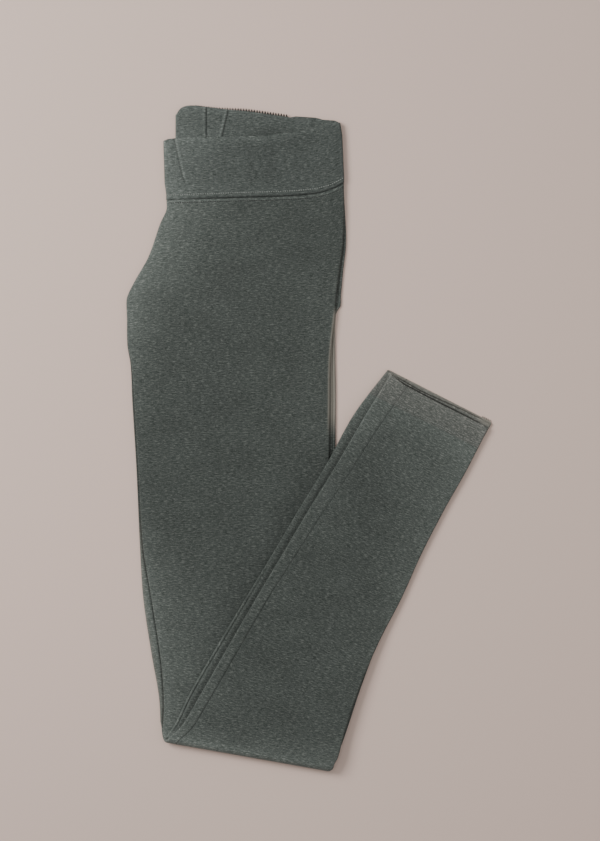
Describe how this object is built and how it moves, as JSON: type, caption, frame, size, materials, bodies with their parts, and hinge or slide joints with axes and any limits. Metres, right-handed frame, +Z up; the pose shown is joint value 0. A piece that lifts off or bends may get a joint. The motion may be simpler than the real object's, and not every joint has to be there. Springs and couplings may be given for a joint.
{
  "type": "leggings, folded flat",
  "caption": "Marl knit leggings with a wide plain waistband, folded in half lengthwise and laid flat, the lower legs turned up to one side.",
  "frame": {"origin": "middle of the folded garment's box, on the surface it lies on", "axes": "+Z up from the surface, +Y from the bottom fold towards the waistband, +X across the waistband towards the side where the lower legs are turned up"},
  "size_m": [0.3354, 0.6112, 0.0125],
  "materials": {
    "waistband_knit": "charcoal grey-green marl jersey, matt",
    "leg_knit": "charcoal grey-green marl jersey, matt",
    "hem_knit": "charcoal marl jersey, turned hem, slightly lighter"
  },
  "bodies": {
    "root": {"waistband": "waistband_knit", "near_leg": "leg_knit", "far_leg": "leg_knit", "hidden_layers": "leg_knit", "near_hem": "hem_knit", "far_hem": "hem_knit"}
  },
  "joints": []
}
